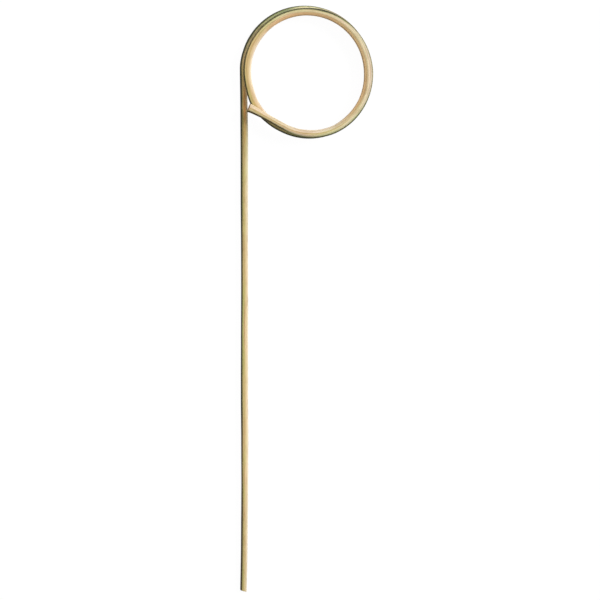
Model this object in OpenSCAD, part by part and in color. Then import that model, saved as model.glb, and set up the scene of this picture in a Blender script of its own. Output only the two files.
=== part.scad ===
// Cocktail pick: one split-bamboo strip, bent at its upper end into a ring of almost two turns.
// The pick lies on the XY plane with its shaft along Y, its ring at +Y and its skin side at -X.
// The origin is under the middle of the whole pick, on the surface that it lies on.

/* [Strip] */
// Length of the whole pick, from the cut tip to the top of the ring
pick_length = 150; // [110:1:200]
// Width of the strip at the ring, from its skin to its inner face
ring_strip_w = 1.86; // [1.7:0.02:2.6]
// Width of the strip at the tip, where it is scraped thinner all round
tip_strip_w = 1.68; // [1.3:0.02:2.4]
// Length over which the strip is scraped thinner towards the tip
tip_taper_length = 32; // [10:1:60]
// Depth of the strip at the ring, from its underside to its upper side
strip_depth = 1.8; // [1.4:0.05:2.4]

/* [Section] */
// How far the skin side bulges between its two edges
skin_crown = 0.12; // [0.02:0.01:0.2]
// Width of the slope on each side that runs down to the inner face
slope_w = 0.95; // [0.5:0.05:1]
// How far each slope drops by the time it meets the inner face
slope_drop = 0.35; // [0.05:0.01:0.35]
// How far the upper side drops from its ridge by the time it meets the skin
outer_drop = 0.18; // [0.02:0.01:0.2]
// How far the rounding of the upper edge beside the skin reaches
shoulder_round = 0.28; // [0.05:0.01:0.3]
// How far the rounding of the lower edge beside the skin reaches
skin_edge_round = 0.22; // [0.05:0.01:0.25]
// How far the rounding of the ridges at the top of the slopes reaches
ridge_round = 0.18; // [0.05:0.01:0.22]
// How far the rounding of the edges beside the inner face reaches
inner_edge_round = 0.28; // [0.05:0.01:0.3]

/* [Ring] */
// Bend radius of the ring, to the middle of the strip
ring_bend_r = 16; // [13:0.1:20]
// Degrees that the strip turns in the ring
ring_turn = 660; // [560:1:680]
// How open each quarter of the first turn is, as a share of the ring's bend radius
first_turn_shape = [0.89, 1.02, 1.02, 0.95]; // [0.8:0.005:1.2]
// How open each quarter of the second turn is, as a share of the ring's bend radius
second_turn_shape = [1.00, 0.945, 1.03, 0.85]; // [0.8:0.005:1.2]
// How wide the strip is at each quarter of the second turn, as a share of its width
second_turn_width = [1.11, 0.99, 1.3, 1.05]; // [0.9:0.01:1.4]
// Gap between one turn and the next, along the ring's axis
turn_gap = 0.1; // [0.05:0.01:0.4]
// Degrees of each turn that lie flat before the strip climbs over the turn below
flat_turn = 180; // [90:5:240]

/* [Shaft] */
// Degrees that the shaft bends towards its tip
tip_bend_angle = 1.3; // [0:0.1:4]
// Length of shaft over which the tip's bend is spread
tip_bend_length = 23; // [5:1:30]
// Degrees that the shaft leans outwards just under the ring
lean_angle = 1.3; // [0:0.1:3]
// Length of shaft over which the lean builds up
lean_length = 15; // [5:1:25]

/* [Ends] */
// Length of the free end that stays straight after the ring
tail_straight = 9; // [2:0.1:12]
// Degrees that the free end bends back outwards
tail_flare_angle = 7.5; // [0:0.5:30]
// Radius of the free end's outward bend
tail_flare_r = 14; // [8:0.5:30]
// Slant of the cut across the tip
tip_cut_slant = 15; // [0:1:30]
// Slant of the cut across the free end
tail_cut_slant = 0; // [0:1:30]
// Degrees that the free end's cut leans back towards its upper side
tail_cut_rake = 15; // [0:1:30]

/* [Hidden] */

flesh_colour = [0.83, 0.73, 0.52];

// Fineness of the sweep: degrees of ring in one step, and steps in each other stretch
ring_step = 5;
straight_steps = 6;
bend_steps = 4;
// Steps round each rounded corner of the section
corner_steps = 2;

turn_rise = strip_depth + turn_gap;
quarter_shapes = concat(first_turn_shape, second_turn_shape);
quarter_widths = concat([1, 1, 1, 1], second_turn_width);

// Section of the strip at the ring, with the skin at the right
// x is 0 at mid width and y is 0 at the underside

skin_x = ring_strip_w / 2 - skin_crown;
inner_x = -ring_strip_w / 2;
ridge_x = inner_x + slope_w;

// Corners of the section, anticlockwise, each with how far its rounding reaches
corners = [
    [skin_x, 0, skin_edge_round],
    [skin_x + skin_crown, strip_depth / 2, strip_depth / 7],
    [skin_x, strip_depth - outer_drop, shoulder_round],
    [ridge_x, strip_depth, ridge_round],
    [inner_x, strip_depth - slope_drop, inner_edge_round],
    [inner_x, slope_drop, inner_edge_round],
    [ridge_x, 0, ridge_round]
];

function towards(from, to, distance) = from + distance * (to - from) / norm(to - from);

section = [
    for (i = [0:len(corners) - 1])
        let (
            place = [for (c = corners) [c.x, c.y]],
            before = place[(i + len(place) - 1) % len(place)],
            after = place[(i + 1) % len(place)],
            start = towards(place[i], before, corners[i].z),
            end = towards(place[i], after, corners[i].z)
        )
        for (k = [0:corner_steps])
            let (t = k / corner_steps)
            start * (1 - t) ^ 2 + place[i] * 2 * t * (1 - t) + end * t ^ 2
];

// Route of the strip's middle line, from the tip to the free end
// Each step holds its length and the degrees that it turns to the left

function stretch(length, turn, steps) = [for (i = [1:steps]) [length, turn] / steps];

// Value part of the way round the ring, from a list with one value for each quarter
function part_way(list, turned) =
    let (
        quarter = min(turned / 90, len(list) - 1),
        before = floor(quarter),
        after = min(before + 1, len(list) - 1),
        share = quarter - before
    )
    list[before] * (1 - share) + list[after] * share;

ring_steps = ceil(ring_turn / ring_step);
ring_stretch = [
    for (i = [0:ring_steps - 1])
        let (turn = ring_turn / ring_steps)
        [ring_bend_r * part_way(quarter_shapes, (i + 0.5) * turn) * turn * PI / 180, -turn]
];
tail_flare_length = tail_flare_r * tail_flare_angle * PI / 180;

function route_steps(straight) = concat(
    stretch(tip_bend_length, tip_bend_angle, bend_steps),
    stretch(straight, 0, straight_steps),
    stretch(lean_length, lean_angle, bend_steps),
    ring_stretch,
    stretch(tail_straight, 0, bend_steps),
    stretch(tail_flare_length, tail_flare_angle, bend_steps)
);

// Running totals of a list, starting from a given value
function totals(list, start) = [
    for (i = 0, sum = start; i <= len(list); sum = i < len(list) ? sum + list[i] : sum, i = i + 1) sum
];

// Height of the strip's underside after it has gone some way round the ring
// Each turn lies flat at first and then climbs by one rise, so the turns never meet
function climb(turned) =
    let (
        whole = floor(turned / 360),
        part = max(0, (turned - 360 * whole - flat_turn) / (360 - flat_turn))
    )
    turn_rise * (whole + part * part * (3 - 2 * part));

// Points on the strip's surface, as one list for each cross-section
function strip_sections(straight) =
    let (
        steps = route_steps(straight),
        headings = totals([for (s = steps) s[1]], 90 - tip_bend_angle),
        travel = totals([for (s = steps) s[0]], 0),
        moves = [
            for (i = [0:len(steps) - 1])
                let (a = (headings[i] + headings[i + 1]) / 2)
                steps[i][0] * [cos(a), sin(a)]
        ],
        places = totals(moves, [0, 0]),
        first_ring = 2 * bend_steps + straight_steps,
        tip_share = tip_strip_w / ring_strip_w,
        last = len(steps)
    )
    [
        for (i = [0:last])
            let (
                along = [cos(headings[i]), sin(headings[i])],
                outward = [-along.y, along.x],
                share = tip_share + (1 - tip_share) * min(1, travel[i] / tip_taper_length),
                ring_part = min(max(0, i - first_ring), ring_steps) / ring_steps * ring_turn,
                past_ring = max(0, travel[i] - travel[first_ring + ring_steps]),
                base = climb(ring_part + past_ring / ring_bend_r * 180 / PI),
                width = part_way(quarter_widths, ring_part),
                slant = i == 0 ? tan(tip_cut_slant) : i == last ? tan(tail_cut_slant) : 0,
                rake = i == last ? tan(tail_cut_rake) : 0
            )
            [
                for (corner = section)
                    let (
                        q = [corner.x * width, corner.y] * share,
                        p = places[i] + outward * q.x + along * (slant * q.x - rake * q.y)
                    )
                    [p.x, p.y, base + q.y]
            ]
    ];

function flat(lists) = [for (list = lists) each list];
function low(points, axis) = min([for (p = points) p[axis]]);
function high(points, axis) = max([for (p = points) p[axis]]);

// The straight stretch takes up what the bends leave of the whole length
bent_points = flat(strip_sections(0));
straight_length = pick_length - (high(bent_points, 1) - low(bent_points, 1));

module pick() {
    rings = strip_sections(straight_length);
    points = flat(rings);
    n = len(section);
    last = (len(rings) - 1) * n;
    sides = [
        for (i = [0:len(rings) - 2], j = [0:n - 1])
            let (a = i * n + j, b = i * n + (j + 1) % n)
            each [[a, b, b + n], [a, b + n, a + n]]
    ];
    tip_cut = [[for (j = [n - 1:-1:0]) j]];
    tail_cut = [[for (j = [0:n - 1]) last + j]];
    middle = [for (axis = [0, 1]) (high(points, axis) + low(points, axis)) / 2];

    color(flesh_colour)
        translate([-middle.x, -middle.y, 0])
            polyhedron(points = points, faces = concat(tip_cut, sides, tail_cut), convexity = 8);
}

pick();
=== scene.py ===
"""Split-bamboo cocktail pick with a coiled ring, lying on a plain pale floor.

Every length is in metres. The pick lies with its shaft along Y, its ring at +Y and its skin
side at -X. It is bent from nearly the same sizes as its solid, and a little unevenly, as a
real split strip is.
"""

import math
from collections import namedtuple

import bmesh
import bpy
from mathutils import Matrix, Vector, noise


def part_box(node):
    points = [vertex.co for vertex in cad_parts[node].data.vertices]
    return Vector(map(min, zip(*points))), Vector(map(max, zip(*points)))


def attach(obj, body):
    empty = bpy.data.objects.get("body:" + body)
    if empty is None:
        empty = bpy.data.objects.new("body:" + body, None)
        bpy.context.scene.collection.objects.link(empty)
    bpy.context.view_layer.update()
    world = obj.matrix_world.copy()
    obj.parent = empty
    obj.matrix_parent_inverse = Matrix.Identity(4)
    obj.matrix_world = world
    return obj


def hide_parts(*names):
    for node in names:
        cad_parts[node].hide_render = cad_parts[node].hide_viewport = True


bl_info = {
    "name": "Split-bamboo ring pick",
    "version": (1, 0, 0),
    "blender": (4, 5, 0),
    "location": "View3D > Sidebar > Pick",
    "description": "Bends a fibred bamboo strip into a cocktail pick and sets its stage",
    "category": "Add Mesh",
}

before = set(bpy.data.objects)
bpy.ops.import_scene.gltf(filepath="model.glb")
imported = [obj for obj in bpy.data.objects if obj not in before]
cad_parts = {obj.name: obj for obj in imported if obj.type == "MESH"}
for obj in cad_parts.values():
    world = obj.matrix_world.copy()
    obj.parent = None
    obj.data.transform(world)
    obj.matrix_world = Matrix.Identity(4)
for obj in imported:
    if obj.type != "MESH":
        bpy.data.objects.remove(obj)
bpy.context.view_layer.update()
cad_low, cad_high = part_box("pick")

# Length of one step along the strip, and its turn round the ring
FINE_STEP = 0.0004
RING_STEP = math.radians(1.5)
# Distance between neighbouring points round the strip's section
SECTION_STEP = 0.0001
# Length at each end over which the sections lean into the slant of the cut
CUT_BLEND = 0.002
# Unevenness of the surface: waves in a metre across and along the fibres, and their height
WANDER = (300, 70, 0.00003)
FIBRE_RIDGES = (3300, 90, 0.00002)

# The photograph's frame is square: its side in pixels and the real size of one pixel
FRAME_PX = 600
PIXEL = 0.000256
# Pixels of the ring's left edge and of its top edge in that frame
RING_LEFT_PX = 239.78
RING_TOP_PX = 5.7

WHITE = (1.0, 1.0, 1.0)
# Brightness at which the floor shows as white to the camera, with a little to spare
FLOOR_GLOW = 1.02
# Distance from the middle of the square floor to its sides
FLOOR_HALF = 3.0

# How wide the strip is, as a share of its even width, at distances from the tip
WIDTH_SHARES = (
    (0.0, 1.0),
    (0.008, 0.995),
    (0.0195, 0.96),
    (0.031, 0.98),
    (0.0425, 1.02),
    (0.054, 1.03),
    (0.0655, 1.005),
    (0.077, 0.97),
    (0.089, 0.985),
    (0.1, 1.02),
    (0.112, 1.045),
    (0.12, 1.04),
    (0.132, 1.0),
    (0.138, 0.9),
    (0.146, 0.92),
    (0.156, 1.0),
    (0.207, 1.0),
    (0.215, 0.91),
    (0.219, 0.96),
    (0.2245, 1.1),
    (0.2285, 1.0),
    (0.2312, 0.96),
    (0.235, 1.0),
    (0.2475, 0.94),
    (0.258, 1.03),
    (0.268, 1.0),
    (0.298, 1.0),
    (0.3065, 1.08),
    (0.313, 0.86),
    (0.319, 0.9),
    (0.324, 1.26),
)

# How far the strip strays from its even course towards its skin, at distances from the tip
STRAYS = (
    (0.0, 0.0),
    (0.018, 0.0),
    (0.027, -0.00008),
    (0.04, -0.00008),
    (0.048, 0.0),
    (0.066, 0.0),
    (0.072, -0.00004),
    (0.08, -0.00004),
    (0.088, 0.0),
    (0.1, 0.00004),
    (0.12, 0.00004),
    (0.1345, 0.0),
    (0.138, -0.00008),
    (0.143, -0.00006),
    (0.153, 0.0),
    (0.197, 0.0),
    (0.204, 0.00012),
    (0.21, 0.00003),
    (0.215, -0.00006),
    (0.219, -0.00008),
    (0.225, -0.00002),
    (0.2285, -0.00022),
    (0.2312, -0.00018),
    (0.2335, -0.0001),
    (0.237, 0.0),
    (0.2475, 0.00004),
    (0.255, 0.0),
    (0.3, 0.0),
    (0.307, -0.0001),
    (0.314, 0.0),
)

# Length of strip that a place of 1 stands for in the next two tables
TABLE_LENGTH = 0.32

# How far round the strip its skin reaches, as a share of its width. Near the top of the ring's
# first turn (about 0.485 to 0.57) it reaches less far, so that paler flesh shows there as a
# painted highlight.
SKIN_REACH = (
    (0.0, 0.3),
    (0.06, 0.32),
    (0.08, 0.27),
    (0.1, 0.24),
    (0.14, 0.24),
    (0.17, 0.21),
    (0.26, 0.21),
    (0.28, 0.25),
    (0.34, 0.25),
    (0.395, 0.3),
    (0.42, 0.27),
    (0.445, 0.29),
    (0.47, 0.21),
    (0.485, 0.13),
    (0.51, 0.1),
    (0.535, 0.06),
    (0.57, 0.05),
    (0.68, 0.19),
    (0.69, 0.15),
    (0.71, 0.15),
    (0.73, 0.18),
    (0.75, 0.15),
    (0.765, 0.14),
    (0.798, 0.19),
    (0.816, 0.27),
    (0.838, 0.11),
    (0.85, 0.07),
    (0.89, 0.05),
    (0.93, 0.08),
    (0.945, 0.1),
    (0.97, 0.03),
    (0.988, 0.17),
)

# Tints that multiply the colour of the flesh, and the strongest that one can be. Some tints are
# painted light and shade: painted shade on the shaft beside the ring (0.365) and on the first turn
# near the top of the ring (0.48), painted light on the shaft just below the ring and on the first
# turn at the ring's left (0.385 to 0.425), and a painted highlight on the first turn at the top of
# the ring (0.493 and 0.53). The others follow the bamboo's own tone.
TINT_TOP = 1.5
LENGTH_TINTS_AND_PAINTED_LIGHT = (
    (0.0, (0.86, 0.86, 0.82)),
    (0.11, (1.04, 1.04, 1.04)),
    (0.26, (1.0, 1.0, 0.97)),
    (0.34, (0.9, 0.95, 0.9)),
    (0.365, (0.7, 0.7, 0.57)),
    (0.385, (0.88, 0.78, 0.62)),
    (0.4, (1.42, 1.3, 1.12)),
    (0.425, (1.35, 1.3, 1.25)),
    (0.445, (1.0, 1.0, 0.92)),
    (0.48, (0.42, 0.56, 0.52)),
    (0.493, (1.45, 1.4, 1.45)),
    (0.53, (1.1, 1.1, 1.17)),
    (0.69, (1.08, 1.04, 1.08)),
    (0.705, (1.0, 0.93, 0.94)),
    (0.73, (1.12, 1.1, 1.08)),
    (0.8, (0.97, 0.95, 0.93)),
    (0.86, (1.04, 1.06, 1.1)),
    (0.93, (1.01, 1.01, 1.01)),
    (1.0, (0.96, 0.91, 0.8)),
)

# Changes of look along the strip, each between two distances from the tip
TIP_SKIN_GREENS = (0.035, 0.055)
# Where the painted shade on the shaft beside the ring begins, deepens and ends
PAINTED_SHADE_BEGINS, PAINTED_SHADE_DEEPENS, PAINTED_SHADE_ENDS = (0.112, 0.118), (0.119, 0.123), (0.1265, 0.13)
FIRST_TURN_BROWNS, FIRST_TURN_FADES = (0.13, 0.145), (0.204, 0.218)
SECOND_TURN_BROWNS = (0.239, 0.252)
RIDGE_DARKENS, RIDGE_PALES = (0.239, 0.246), (0.253, 0.259)
RIDGE_VANISHES, RIDGE_RETURNS = (0.252, 0.262), (0.29, 0.298)
TAIL_PALES = (0.29, 0.302)
TAIL_SKIN_BROWNS = (0.294, 0.31)
DARK_PATCH_BEGINS = (0.3, 0.31)
# Heights above the underside between which the dark patch on the free end's cut fades out
DARK_PATCH_HEIGHTS = (0.0009, 0.0016)
# How deep the ridge lies below the skin, as a share of the strip's width
RIDGE_DEPTH = 0.52

# A place on the strip's route: its underside's middle, heading, distance from the tip, share of
# the full section, how much wider than that it is, and how far the section leans along the
# route towards its skin and its top
Station = namedtuple("Station", "place heading along share widening slant rake")


# Settings


def length(name, description, default):
    return bpy.props.FloatProperty(
        name=name, description=description, default=default, precision=5, unit="LENGTH"
    )


def angle(name, description, degrees):
    return bpy.props.FloatProperty(
        name=name, description=description, default=math.radians(degrees), unit="ROTATION"
    )


def quarters(name, description, default):
    return bpy.props.FloatVectorProperty(
        name=name, description=description, default=default, size=4, min=0.5, max=1.5
    )


def amount(name, description, default, unit="NONE"):
    return bpy.props.FloatProperty(
        name=name, description=description, default=default, unit=unit
    )


def colour(name, description, default):
    return bpy.props.FloatVectorProperty(
        name=name, description=description, default=default, size=3, min=0, max=1, subtype="COLOR"
    )


class StripSizes(bpy.types.PropertyGroup):
    """Sizes of the split strip and its section"""

    pick_length: length(
        "Pick length", "From the cut tip to the top of the ring", cad_high.y - cad_low.y
    )
    ring_w: length("Width at the ring", "From the skin to the inner face", 0.00186)
    tip_w: length("Width at the tip", "Where the strip is scraped thinner", 0.00168)
    taper_length: length("Taper length", "Length that is scraped towards the tip", 0.032)
    depth: length("Depth", "From the underside to the upper side", 0.0018)
    skin_crown: length("Skin crown", "How far the skin side bulges", 0.00012)
    slope_w: length("Slope width", "Width of each slope down to the inner face", 0.00095)
    slope_drop: length("Slope drop", "How far each slope drops at the inner face", 0.00035)
    outer_drop: length("Outer drop", "How far the upper side drops at the skin", 0.00018)
    shoulder_round: length("Shoulder rounding", "Reach of the rounding above the skin", 0.00028)
    skin_edge_round: length("Skin edge rounding", "Reach of the rounding below the skin", 0.00022)
    ridge_round: length("Ridge rounding", "Reach of the rounding at the ridges", 0.00018)
    inner_edge_round: length(
        "Inner edge rounding", "Reach of the rounding beside the inner face", 0.00028
    )


class RingBend(bpy.types.PropertyGroup):
    """How the strip is bent into its ring"""

    bend_r: length("Bend radius", "To the middle of the strip", 0.016)
    turn: angle("Turn", "How far the strip turns in the ring", 660)
    first_turn: quarters("First turn", "How open each quarter is", (0.89, 1.027, 1.02, 0.95))
    second_turn: quarters("Second turn", "How open each quarter is", (1.0, 0.945, 1.03, 0.85))
    second_width: quarters("Second turn's width", "As a share of width", (1.08, 1.02, 1.28, 1.0))
    turn_gap: length("Gap between turns", "Along the ring's axis", 0.0001)
    flat_turn: angle("Flat part of a turn", "Before the strip climbs over the turn below", 180)


class ShaftBend(bpy.types.PropertyGroup):
    """The slight bends of the shaft"""

    tip_angle: angle("Tip bend", "How far the shaft bends towards its tip", 1.3)
    tip_length: length("Tip bend length", "Length that the tip's bend is spread over", 0.023)
    lean_angle: angle("Lean", "How far the shaft leans outwards under the ring", 1.4)
    lean_length: length("Lean length", "Length that the lean builds up over", 0.025)


class EndCuts(bpy.types.PropertyGroup):
    """The free end of the strip and the two cuts"""

    tail_straight: length("Straight tail", "Straight stretch after the ring", 0.009)
    flare_angle: angle("Flare", "How far the free end bends back outwards", 7.5)
    flare_r: length("Flare radius", "Radius of the free end's outward bend", 0.014)
    tip_slant: angle("Tip slant", "Slant of the cut across the tip", 15)
    tail_slant: angle("Tail slant", "Slant of the cut across the free end", 0)
    tail_rake: angle("Tail rake", "How far the free end's cut leans back", 15)
    edge_wear: length("Edge wear", "Width of the softened edge round each cut", 0.00006)


class BambooLook(bpy.types.PropertyGroup):
    """Colours of the bamboo, from its skin inwards"""

    skin: colour("Skin", "Dark waxy skin on the shoulder", (0.026, 0.025, 0.008))
    skin_side: colour("Skin side", "Green waxy skin on the side", (0.05, 0.058, 0.02))
    under_skin: colour("Under the skin", "Layer just inside the skin", (0.24, 0.19, 0.065))
    green_skin: colour("Green under the skin", "Where that layer is greener", (0.19, 0.2, 0.06))
    olive: colour("Olive flesh", "Dense flesh of the outer half", (0.69, 0.585, 0.265))
    tan: colour("Tan flesh", "Flesh of the middle", (0.57, 0.43, 0.205))
    pale: colour("Pale flesh", "Loose flesh of the inner side", (0.68, 0.55, 0.36))
    cream: colour("Cream flesh", "Stretched flesh of the ring's outer half", (0.78, 0.655, 0.43))
    brown: colour("Brown flesh", "Pressed flesh of the ring's inner half", (0.74, 0.5, 0.27))
    rind: colour("Rind flesh", "Greyish flesh under the ring's skin", (0.6, 0.55, 0.4))
    pith: colour("Pith", "Palest flesh, on the inner side", (0.76, 0.66, 0.53))
    # Painted light: the end grain is paler than the bamboo's own, to light cuts that face away
    # from the key light
    end_grain_with_painted_light: colour("End grain", "The two cuts", (0.92, 0.7, 0.52))
    # Painted shade, warm and rusty, on the shaft where the ring shades it
    painted_shade: colour("Stain", "Rusty stain on the shaft beside the ring", (0.6, 0.28, 0.08))
    end_skin: colour("Skin at the ends", "Browner skin near both ends", (0.06, 0.038, 0.009))
    # A dark patch low on the free end's cut
    dark_patch: colour("Notch", "Dark notch in the free end's cut", (0.28, 0.12, 0.03))
    fibre: colour("Fibre", "Brown bundles of fibre", (0.36, 0.21, 0.08))


class StageLook(bpy.types.PropertyGroup):
    """Floor, lights and camera"""

    floor: colour("Floor", "Colour of the floor", (0.9, 0.9, 0.9))
    shadow: amount("Shadow", "How dark the pick's shadow looks", 0.06)
    lens: amount("Lens", "Focal length of the camera", 120.0, unit="CAMERA")
    key_strength: amount("Key light", "Strength of the light from one side", 2.6)
    top_strength: amount("Top light", "Strength of the light from above", 0.7)
    rim_strength: amount("Rim light", "Strength of the low light beyond the ring", 0.8)
    sky_strength: amount("Sky light", "Strength of the even light from all round", 0.2)


class BambooPick(bpy.types.PropertyGroup):
    """Everything that a user can change about the pick and its stage"""

    strip: bpy.props.PointerProperty(type=StripSizes)
    ring: bpy.props.PointerProperty(type=RingBend)
    shaft: bpy.props.PointerProperty(type=ShaftBend)
    ends: bpy.props.PointerProperty(type=EndCuts)
    look: bpy.props.PointerProperty(type=BambooLook)
    stage: bpy.props.PointerProperty(type=StageLook)


# Route of the strip


def smooth(share):
    """Eases a share from 0 to 1, and holds it there on either side."""
    share = min(max(share, 0.0), 1.0)
    return share * share * (3 - 2 * share)


def stretch(run, turn=0.0, way_round=0.0):
    """Equal steps of one stretch: each one's length, turn to the left and way round the ring."""
    count = math.ceil(run / FINE_STEP)
    return [(run / count, turn / count, way_round / count)] * count


def part_way(values, way_round):
    """Value part of the way round the ring, from one value for each quarter."""
    quarter = min(way_round / math.radians(90), len(values) - 1)
    before = min(int(quarter), len(values) - 2)
    share = quarter - before
    return (1 - share) * values[before] + share * values[before + 1]


def between(stops, place):
    """Value at a place, between stops that each hold a place and a value."""
    for (low, first), (high, second) in zip(stops, stops[1:]):
        if place < high:
            return first + (second - first) * (place - low) / (high - low)
    return stops[-1][1]


def ring_stretch(ring):
    """Steps round the ring, each as open as its place between two quarters makes it."""
    shapes = [*ring.first_turn, *ring.second_turn]
    count = math.ceil(ring.turn / RING_STEP)
    turn = ring.turn / count
    return [
        (ring.bend_r * part_way(shapes, (i + 0.5) * turn) * turn, -turn, turn)
        for i in range(count)
    ]


def underside(way_round, ring, depth):
    """Height of the strip's underside: each turn lies flat, then climbs over the turn below."""
    whole, part = divmod(way_round, 2 * math.pi)
    climb = smooth((part - ring.flat_turn) / (2 * math.pi - ring.flat_turn))
    return (depth + ring.turn_gap) * (whole + climb)


def course(pick, straight):
    """Stations from the tip to the free end, for a straight stretch of some length."""
    strip, ring, shaft, ends = pick.strip, pick.ring, pick.shaft, pick.ends
    flare_length = ends.flare_r * ends.flare_angle
    steps = [
        *stretch(shaft.tip_length, shaft.tip_angle),
        *stretch(straight),
        *stretch(shaft.lean_length, shaft.lean_angle),
        *ring_stretch(ring),
        *stretch(ends.tail_straight, 0.0, ends.tail_straight / ring.bend_r),
        *stretch(flare_length, ends.flare_angle, flare_length / ring.bend_r),
    ]
    widenings = [1, 1, 1, 1, *ring.second_width]
    whole_length = sum(run for run, _, _ in steps)
    tip_share = strip.tip_w / strip.ring_w

    def station(place, heading, along, way_round):
        towards_skin = Vector((-math.sin(heading), math.cos(heading), 0.0))
        tip_lean = 1 - smooth(along / CUT_BLEND)
        tail_lean = 1 - smooth((whole_length - along) / CUT_BLEND)
        return Station(
            place=place + between(STRAYS, along) * towards_skin,
            heading=heading,
            along=along,
            share=tip_share + (1 - tip_share) * min(along / strip.taper_length, 1.0),
            widening=part_way(widenings, min(way_round, ring.turn)) * between(WIDTH_SHARES, along),
            slant=math.tan(ends.tip_slant) * tip_lean + math.tan(ends.tail_slant) * tail_lean,
            rake=math.tan(ends.tail_rake) * tail_lean,
        )

    place, along, way_round = Vector(), 0.0, 0.0
    heading = math.radians(90) - shaft.tip_angle
    stations = [station(place, heading, along, way_round)]
    for run, turn, ring_part in steps:
        middle = heading + turn / 2
        place = place + Vector((run * math.cos(middle), run * math.sin(middle), 0.0))
        heading, along, way_round = heading + turn, along + run, way_round + ring_part
        place.z = underside(way_round, ring, strip.depth)
        stations.append(station(place, heading, along, way_round))
    return stations


def placement(station):
    """Matrix that moves the section from the origin, where it heads along Y, to a station."""
    lean = Matrix.Identity(4)
    lean[1][0], lean[1][2] = -station.slant, -station.rake
    return (
        Matrix.Translation(station.place)
        @ Matrix.Rotation(station.heading - math.radians(90), 4, "Z")
        @ lean
        @ Matrix.Diagonal((station.share * station.widening, station.share, station.share, 1.0))
    )


def route(pick):
    """Stations of the strip, its straight stretch taking up what the bends leave of its length."""
    half_w = pick.strip.ring_w / 2
    bends = course(pick, FINE_STEP)
    edges = [placement(s) @ Vector((x, 0.0, 0.0)) for s in bends for x in (-half_w, half_w)]
    bent_length = max(p.y for p in edges) - min(p.y for p in edges)
    return course(pick, FINE_STEP + pick.strip.pick_length - bent_length)


# Strip


def draw_section(bm, strip):
    """The strip's section as a loop of edges, standing on the floor with its skin towards -X."""
    half_w, depth, drop = strip.ring_w / 2, strip.depth, strip.slope_drop
    skin_x = strip.skin_crown - half_w
    ridge_x = half_w - strip.slope_w
    crown_round = depth / 7
    corners = (
        (skin_x, 0.0, strip.skin_edge_round),
        (ridge_x, 0.0, strip.ridge_round),
        (half_w, drop, strip.inner_edge_round),
        (half_w, depth - drop, strip.inner_edge_round),
        (ridge_x, depth, strip.ridge_round),
        (skin_x, depth - strip.outer_drop, strip.shoulder_round),
        (-half_w, depth / 2, crown_round),
    )
    verts = [bm.verts.new((x, 0.0, z)) for x, z, _ in corners]
    bmesh.ops.contextual_create(bm, geom=verts)
    for vert, (_, _, reach) in zip(verts, corners):
        bmesh.ops.bevel(
            bm,
            geom=[vert],
            offset=reach,
            offset_type="ABSOLUTE",
            segments=4,
            profile=0.5,
            affect="VERTICES",
            material=-1,
        )
    for edge in list(bm.edges):
        cuts = int(edge.calc_length() / SECTION_STEP)
        if cuts:
            bmesh.ops.bisect_edges(bm, edges=[edge], cuts=cuts)
    bmesh.ops.delete(bm, geom=bm.faces[:], context="FACES_ONLY")
    return bm.edges[:]


def split_strip(bm, section, steps):
    """Draws the section out into a straight, closed strip with one ring of edges for each step."""
    made = bmesh.ops.extrude_edge_only(bm, edges=section)["geom"]
    far_verts = [g for g in made if isinstance(g, bmesh.types.BMVert)]
    far_edges = [g for g in made if isinstance(g, bmesh.types.BMEdge)]
    bmesh.ops.translate(bm, vec=(0.0, steps * FINE_STEP, 0.0), verts=far_verts)
    rims = {*section, *far_edges}
    sides = [edge for edge in bm.edges if edge not in rims]
    bmesh.ops.subdivide_edges(bm, edges=sides, cuts=steps - 1, use_grid_fill=True)
    for y in (0.0, steps * FINE_STEP):
        rim = [e for e in bm.edges if all(abs(v.co.y - y) < FINE_STEP / 2 for v in e.verts)]
        bmesh.ops.contextual_create(bm, geom=rim)
    bmesh.ops.recalc_face_normals(bm, faces=bm.faces)


def bend_strip(bm, stations):
    """Bends the straight strip, moving each of its rings of edges to the station it belongs to.

    The strip's own unbent space is kept in the attribute "grain": x from mid width towards the
    skin, y from the tip along the fibres and z up from the underside. The attribute "cut" is 1
    on the two cuts and 0 elsewhere.
    """
    grain = bm.verts.layers.float_vector.new("grain")
    cut = bm.verts.layers.float.new("cut")
    places = [placement(station) for station in stations]
    for vert in bm.verts:
        step = round(vert.co.y / FINE_STEP)
        station = stations[step]
        across, up = -vert.co.x, vert.co.z
        lean = (station.slant * across - station.rake * up) * station.share
        vert[grain] = Vector((across, station.along + lean, up))
        vert[cut] = float(step in (0, len(stations) - 1))
        vert.co = places[step] @ Vector((vert.co.x, 0.0, vert.co.z))


def soften_cuts(bm, edge_wear):
    """Wears down the sharp edge round each cut, the only faces with more than four sides."""
    cuts = [face for face in bm.faces if len(face.verts) > 4]
    bmesh.ops.bevel(
        bm,
        geom=[edge for cut in cuts for edge in cut.edges],
        offset=edge_wear,
        offset_type="OFFSET",
        segments=3,
        profile=0.5,
        affect="EDGES",
        material=-1,
        clamp_overlap=True,
    )


def lie_on_solid(bm):
    """Moves the strip to where its solid lies, matched at the ring's left and top edges."""
    left = min(vert.co.x for vert in bm.verts)
    top = max(vert.co.y for vert in bm.verts)
    bmesh.ops.translate(bm, vec=(cad_low.x - left, cad_high.y - top, 0.0), verts=bm.verts)


def unevenness(place, waves_across, waves_along, height):
    """How far the surface stands out at a place in the strip's unbent space."""
    across, along, up = place
    wave = Vector((across * waves_across, along * waves_along, up * waves_across))
    return height * noise.noise(wave)


def roughen(bm):
    """Gives the smooth strip the slow wander and the long fibre ridges of split bamboo."""
    grain = bm.verts.layers.float_vector["grain"]
    bm.normal_update()
    moves = [
        vert.normal * (unevenness(vert[grain], *WANDER) + unevenness(vert[grain], *FIBRE_RIDGES))
        for vert in bm.verts
    ]
    for vert, move in zip(bm.verts, moves):
        vert.co += move
        vert.co.z = max(vert.co.z, 0.0)


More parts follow.
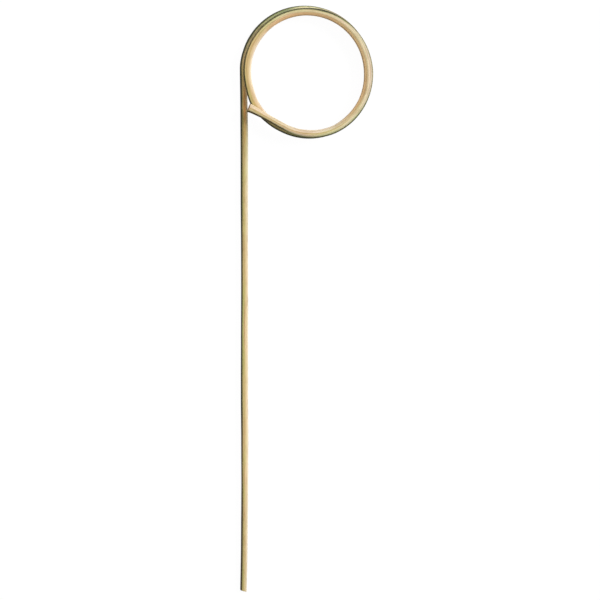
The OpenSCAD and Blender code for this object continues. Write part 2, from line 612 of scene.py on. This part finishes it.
def finished_object(bm, name, material):
    """The finished mesh as a smooth object that sits at the origin."""
    for face in bm.faces:
        face.smooth = True
    mesh = bpy.data.meshes.new(name)
    bm.to_mesh(mesh)
    bm.free()
    mesh.materials.append(material)
    piece = bpy.data.objects.new(name, mesh)
    bpy.context.scene.collection.objects.link(piece)
    return piece


# Shader maths


class Value:
    """A socket whose value varies over a surface, for use in expressions."""

    def __init__(self, graph, socket):
        self.graph = graph
        self.socket = socket

    def math(self, operation, *operands):
        return self.graph.add(
            "ShaderNodeMath", {"operation": operation}, dict(enumerate(operands))
        )

    def __add__(self, other):
        return self.math("ADD", self, other)

    __radd__ = __add__

    def __mul__(self, other):
        return self.math("MULTIPLY", self, other)

    __rmul__ = __mul__

    def __sub__(self, other):
        return self.math("SUBTRACT", self, other)

    def __rsub__(self, other):
        return self.math("SUBTRACT", other, self)

    def ease(self, low, high, to_low=0.0, to_high=1.0):
        """Eases from to_low, where this value is low, to to_high, where it is high."""
        return self.graph.add(
            "ShaderNodeMapRange",
            {"interpolation_type": "SMOOTHSTEP"},
            {
                "Value": self,
                "From Min": low,
                "From Max": high,
                "To Min": to_low,
                "To Max": to_high,
            },
        )


class Graph:
    """The nodes of a material or a world."""

    def __init__(self, owner):
        owner.use_nodes = True
        self.tree = owner.node_tree
        self.tree.nodes.clear()

    def add(self, kind, settings=None, inputs=None, output=0):
        """Adds a node, makes its settings, fills or links its inputs and gives one output."""
        node = self.tree.nodes.new(kind)
        for name, setting in (settings or {}).items():
            if name == "stops":
                self.set_stops(node.color_ramp.elements, setting)
            else:
                setattr(node, name, setting)
        for key, value in (inputs or {}).items():
            socket = self.find_input(node, key)
            if isinstance(value, Value):
                self.tree.links.new(value.socket, socket)
            elif socket.type == "RGBA":
                socket.default_value = (*value, 1.0)
            else:
                socket.default_value = value
        return Value(self, node.outputs[output]) if node.outputs else None

    @staticmethod
    def find_input(node, key):
        """The input at a place, or with an identifier, which like-named inputs don't share."""
        if isinstance(key, int):
            return node.inputs[key]
        return next(socket for socket in node.inputs if socket.identifier == key)

    @staticmethod
    def set_stops(elements, stops):
        stops = list(stops)
        while len(elements) < len(stops):
            elements.new(1.0)
        for element, (position, tint) in zip(elements, stops):
            element.position = position
            element.color = (*tint, 1.0)

    def mix(self, share, low, high):
        """The colour low where the share is 0, and high where it is 1."""
        return self.add(
            "ShaderNodeMix",
            {"data_type": "RGBA"},
            {"Factor_Float": share, "A_Color": low, "B_Color": high},
            output=2,
        )

    def multiply(self, first, second):
        """The product of two colours."""
        return self.add(
            "ShaderNodeMix",
            {"data_type": "RGBA", "blend_type": "MULTIPLY"},
            {"Factor_Float": 1.0, "A_Color": first, "B_Color": second},
            output=2,
        )

    def ramp(self, place, *stops):
        """The colour at a place, between stops that each hold a position and a colour."""
        return self.add("ShaderNodeValToRGB", {"stops": stops}, {"Fac": place})

    def noise(self, vector, detail=2.0, roughness=0.5):
        return self.add(
            "ShaderNodeTexNoise",
            {},
            {"Vector": vector, "Scale": 1.0, "Detail": detail, "Roughness": roughness},
        )

    def light_path(self, kind):
        return self.add("ShaderNodeLightPath", output=kind)


# Materials


def bamboo_material(look, strip):
    """Split bamboo: dark waxy skin, then olive, tan and pale flesh in long brown fibres."""
    material = bpy.data.materials.new("split_bamboo")
    graph = Graph(material)
    grain = graph.add("ShaderNodeAttribute", {"attribute_name": "grain"}, output="Vector")
    across, along, up = (
        graph.add("ShaderNodeSeparateXYZ", {}, {"Vector": grain}, output=axis) for axis in "XYZ"
    )

    def cells(width, run):
        """The strip's own space, in cells of a width across the fibres and a length along them."""
        scale = (1 / width, 1 / run, 1 / width)
        return graph.add("ShaderNodeVectorMath", {"operation": "MULTIPLY"}, {0: grain, 1: scale})

    def within(begins, ends):
        """1 on a stretch of the strip and 0 off it, eased at both of its sides."""
        return along.ease(*begins) * along.ease(*ends, 1.0, 0.0)

    drift = graph.noise(cells(0.003, 0.02))
    patches = graph.noise(cells(0.0009, 0.009))
    flecks = graph.noise(cells(0.0006, 0.003), detail=1.0)
    bundles = graph.noise(cells(0.00025, 0.02), detail=3.0, roughness=0.6)
    threads = graph.noise(cells(0.00009, 0.005))

    # Depth below the skin as a share of the strip's width
    depth = 0.5 - across * (1 / strip.ring_w)
    wandering = depth + (drift - 0.5) * 0.1 + (bundles - 0.5) * 0.08
    shaft_flesh = graph.ramp(
        wandering, (0.3, look.olive), (0.48, look.tan), (0.78, look.pale), (0.95, look.pith)
    )
    ring_flesh = graph.ramp(
        wandering, (0.2, look.rind), (0.4, look.cream), (0.58, look.cream), (0.67, look.brown)
    )
    tail_flesh = graph.ramp(
        wandering, (0.2, look.rind), (0.36, look.cream), (0.5, look.tan), (0.64, look.pith)
    )
    in_ring = within(FIRST_TURN_BROWNS, FIRST_TURN_FADES) + along.ease(*SECOND_TURN_BROWNS)
    flesh = graph.mix(in_ring, shaft_flesh, ring_flesh)
    flesh = graph.mix(along.ease(*TAIL_PALES), flesh, tail_flesh)

    # Brown bundles of fibre, one of them along the ridge
    off_ridge = wandering - RIDGE_DEPTH
    off_ridge = off_ridge.math("ABSOLUTE", off_ridge)
    browning = patches.ease(0.42, 0.6, 0.0, 0.45) + within(RIDGE_DARKENS, RIDGE_PALES) * 0.3
    ridge = off_ridge.ease(0.0, 0.06, 1.0, 0.0) * browning
    ridge = ridge * (1 - within(RIDGE_VANISHES, RIDGE_RETURNS))
    streaks = ridge + bundles.ease(0.5, 0.7, 0.0, 0.35) + threads.ease(0.5, 0.75, 0.0, 0.2)
    streaks = streaks + flecks.ease(0.5, 0.7, 0.0, 0.2)
    flesh = graph.mix(streaks, flesh, look.fibre)
    blotches = graph.ramp(patches, (0.38, (0.9, 0.98, 0.8)), (0.62, (1.0, 0.93, 0.94)))
    blotches = graph.mix(wandering.ease(0.4, 0.9, 0.0, 0.75), blotches, (0.97, 0.96, 0.9))
    flesh = graph.multiply(flesh, blotches)
    table_place = along * (1 / TABLE_LENGTH)
    # Tints along the strip, some of them painted light, painted shade and a painted highlight
    tints_and_painted_light = ((place, [share / TINT_TOP for share in tint]) for place, tint in LENGTH_TINTS_AND_PAINTED_LIGHT)
    flesh = graph.multiply(flesh, graph.ramp(table_place, *tints_and_painted_light))
    brighten = {0: flesh, "Scale": TINT_TOP}
    flesh = graph.add("ShaderNodeVectorMath", {"operation": "SCALE"}, brighten)

    # A painted shade in a warm rusty colour where the ring meets the shaft and shades it
    painted_shade = along.ease(*PAINTED_SHADE_BEGINS, 0.0, 0.35) + along.ease(*PAINTED_SHADE_DEEPENS, 0.0, 0.65)
    painted_shade = painted_shade * along.ease(*PAINTED_SHADE_ENDS, 1.0, 0.0)
    painted_shade = painted_shade * wandering.ease(0.43, 0.61) * wandering.ease(0.68, 0.85, 1.0, 0.0)
    flesh = graph.mix(painted_shade * 0.9, flesh, look.painted_shade)

    # End grain on the two cuts, paler than the bamboo's own as painted light on cut faces that the
    # key light misses, with a dark patch low on the free end
    cut = graph.add("ShaderNodeAttribute", {"attribute_name": "cut"}, output="Fac")
    cut = cut.ease(0.86, 0.98)
    pores = graph.noise(cells(0.00016, 1.0), detail=1.0).ease(0.5, 0.62, 0.0, 0.6)
    flesh = graph.mix(cut, flesh, graph.mix(pores, look.end_grain_with_painted_light, look.fibre))
    dark_patch = cut * along.ease(*DARK_PATCH_BEGINS) * depth.ease(0.1, 0.35)
    dark_patch = dark_patch * up.ease(*DARK_PATCH_HEIGHTS, 0.9, 0.0)
    flesh = graph.mix(dark_patch, flesh, look.dark_patch)

    # The skin reaches further round in some places than in others, and less far near the top of
    # the ring, where the paler flesh it leaves is a painted highlight
    reach = graph.ramp(table_place, *((place, [share] * 3) for place, share in SKIN_REACH))
    reach = graph.add("ShaderNodeRGBToBW", {}, {"Color": reach})
    inside = wandering - reach
    under_skin = graph.mix(patches.ease(0.42, 0.58), look.green_skin, look.under_skin)
    layer = inside.ease(0.0, 0.13, 0.95, 0.0) * along.ease(*TIP_SKIN_GREENS, 0.5, 1.0)
    flesh = graph.mix(layer, flesh, under_skin)
    is_skin = inside.ease(-0.04, 0.03, 1.0, 0.0)
    skin = graph.mix(up.ease(0.55 * strip.depth, 0.8 * strip.depth), look.skin_side, look.skin)
    worn = threads.ease(0.4, 0.8, 0.0, 0.2) + patches.ease(0.5, 0.7, 0.0, 0.15)
    skin = graph.mix(worn, skin, under_skin)
    near_ends = along.ease(*TIP_SKIN_GREENS, 0.7, 0.0) + along.ease(*TAIL_SKIN_BROWNS)
    skin = graph.mix(near_ends, skin, look.end_skin)
    on_shoulder = up.ease(0.83 * strip.depth, 0.9 * strip.depth)

    relief = graph.add(
        "ShaderNodeBump",
        {},
        {"Strength": 0.4, "Distance": 0.00003, "Height": threads * 0.6 + bundles * 0.4},
    )
    shader = graph.add(
        "ShaderNodeBsdfPrincipled",
        {},
        {
            "Base Color": graph.mix(is_skin, flesh, skin),
            "Roughness": is_skin.ease(0.0, 1.0, 0.65, 0.5),
            "IOR": 1.45,
            "Specular IOR Level": 0.12,
            "Coat Weight": is_skin * on_shoulder * 0.5,
            "Coat Roughness": 0.32,
            "Normal": relief,
        },
    )
    graph.add("ShaderNodeOutputMaterial", {}, {"Surface": shader})
    return material


def floor_material(look):
    """Pale floor that looks white to the camera, apart from the pick's own faint shadow."""
    material = bpy.data.materials.new("pale_floor")
    graph = Graph(material)
    matt = graph.add("ShaderNodeBsdfDiffuse", {}, {"Color": look.floor})
    shaded = graph.add("ShaderNodeBsdfDiffuse", {}, {"Color": [look.shadow] * 3})
    strength = FLOOR_GLOW - look.shadow
    glow = graph.add("ShaderNodeEmission", {}, {"Color": WHITE, "Strength": strength})
    white = graph.add("ShaderNodeAddShader", {}, {0: shaded, 1: glow})
    seen = graph.light_path("Is Camera Ray")
    shader = graph.add("ShaderNodeMixShader", {}, {0: seen, 1: matt, 2: white})
    graph.add("ShaderNodeOutputMaterial", {}, {"Surface": shader})
    return material


def studio_world(look):
    """Even light from all round, in front of a white backdrop."""
    world = bpy.data.worlds.new("studio")
    graph = Graph(world)
    sky = graph.add("ShaderNodeBackground", {}, {"Color": WHITE, "Strength": look.sky_strength})
    backdrop = graph.add("ShaderNodeBackground", {}, {"Color": WHITE, "Strength": 1.0})
    seen = graph.light_path("Is Camera Ray")
    for kind in ("Is Glossy Ray", "Is Transmission Ray"):
        seen = seen.math("MAXIMUM", seen, graph.light_path(kind))
    shader = graph.add("ShaderNodeMixShader", {}, {0: seen, 1: sky, 2: backdrop})
    graph.add("ShaderNodeOutputWorld", {}, {"Surface": shader})
    return world


# Stage


def lay_floor(look):
    bm = bmesh.new()
    bmesh.ops.create_grid(bm, x_segments=1, y_segments=1, size=FLOOR_HALF)
    finished_object(bm, "floor", floor_material(look))


def hang_light(name, azimuth, elevation, strength, spread):
    """A soft light whose rays come from one direction; all its angles are in degrees."""
    azimuth, elevation = math.radians(azimuth), math.radians(elevation)
    towards = Vector((
        math.cos(azimuth) * math.cos(elevation),
        math.sin(azimuth) * math.cos(elevation),
        math.sin(elevation),
    ))
    data = bpy.data.lights.new(name, "SUN")
    data.energy = strength
    data.angle = math.radians(spread)
    light = bpy.data.objects.new(name, data)
    light.location = towards
    light.rotation_euler = towards.to_track_quat("Z", "Y").to_euler()
    bpy.context.scene.collection.objects.link(light)


def point_camera(look, depth):
    """Looks straight down, framed as the photograph is."""
    data = bpy.data.cameras.new("camera")
    data.lens = look.lens
    data.clip_start, data.clip_end = 0.01, 10.0
    camera = bpy.data.objects.new("camera", data)
    camera.location = (
        cad_low.x + (FRAME_PX / 2 - RING_LEFT_PX) * PIXEL,
        cad_high.y - (FRAME_PX / 2 - RING_TOP_PX) * PIXEL,
        depth / 2 + FRAME_PX * PIXEL * data.lens / data.sensor_width,
    )
    bpy.context.scene.collection.objects.link(camera)
    bpy.context.scene.camera = camera


# Operators and panel


class PICK_OT_bend_strip(bpy.types.Operator):
    """Bend the bamboo strip into its shaft and ring, wear its cuts and raise its fibres"""

    bl_idname = "pick.bend_strip"
    bl_label = "Bend the bamboo strip"

    def execute(self, context):
        pick = context.scene.bamboo_pick
        stations = route(pick)
        bm = bmesh.new()
        split_strip(bm, draw_section(bm, pick.strip), len(stations) - 1)
        bend_strip(bm, stations)
        soften_cuts(bm, pick.ends.edge_wear)
        lie_on_solid(bm)
        roughen(bm)
        strip = finished_object(bm, "bamboo_strip", bamboo_material(pick.look, pick.strip))
        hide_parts("pick")
        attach(strip, "root")
        return {"FINISHED"}


class PICK_OT_set_stage(bpy.types.Operator):
    """Lay the pale floor, hang the soft light and point the camera straight down"""

    bl_idname = "pick.set_stage"
    bl_label = "Set the stage"

    def execute(self, context):
        pick = context.scene.bamboo_pick
        look = pick.stage
        lay_floor(look)
        hang_light("key_light", azimuth=20, elevation=35, strength=look.key_strength, spread=25)
        hang_light("top_light", azimuth=0, elevation=88, strength=look.top_strength, spread=50)
        hang_light("rim_light", azimuth=85, elevation=25, strength=look.rim_strength, spread=25)
        point_camera(look, pick.strip.depth)
        context.scene.world = studio_world(look)
        context.scene.view_settings.view_transform = "Standard"
        return {"FINISHED"}


class PICK_PT_sidebar(bpy.types.Panel):
    """Buttons that build the pick and its stage, above all their sizes and colours"""

    bl_idname = "PICK_PT_sidebar"
    bl_label = "Bamboo pick"
    bl_space_type = "VIEW_3D"
    bl_region_type = "UI"
    bl_category = "Pick"

    def draw(self, context):
        pick = context.scene.bamboo_pick
        self.layout.operator(PICK_OT_bend_strip.bl_idname)
        self.layout.operator(PICK_OT_set_stage.bl_idname)
        for group in (pick.strip, pick.ring, pick.shaft, pick.ends, pick.look, pick.stage):
            box = self.layout.box()
            for name in group.__annotations__:
                box.prop(group, name)


CLASSES = (
    StripSizes,
    RingBend,
    ShaftBend,
    EndCuts,
    BambooLook,
    StageLook,
    BambooPick,
    PICK_OT_bend_strip,
    PICK_OT_set_stage,
    PICK_PT_sidebar,
)


def register():
    for cls in CLASSES:
        bpy.utils.register_class(cls)
    bpy.types.Scene.bamboo_pick = bpy.props.PointerProperty(type=BambooPick)


def unregister():
    del bpy.types.Scene.bamboo_pick
    for cls in reversed(CLASSES):
        bpy.utils.unregister_class(cls)


def main():
    register()
    bpy.ops.pick.bend_strip()
    bpy.ops.pick.set_stage()


if __name__ == "__main__":
    main()
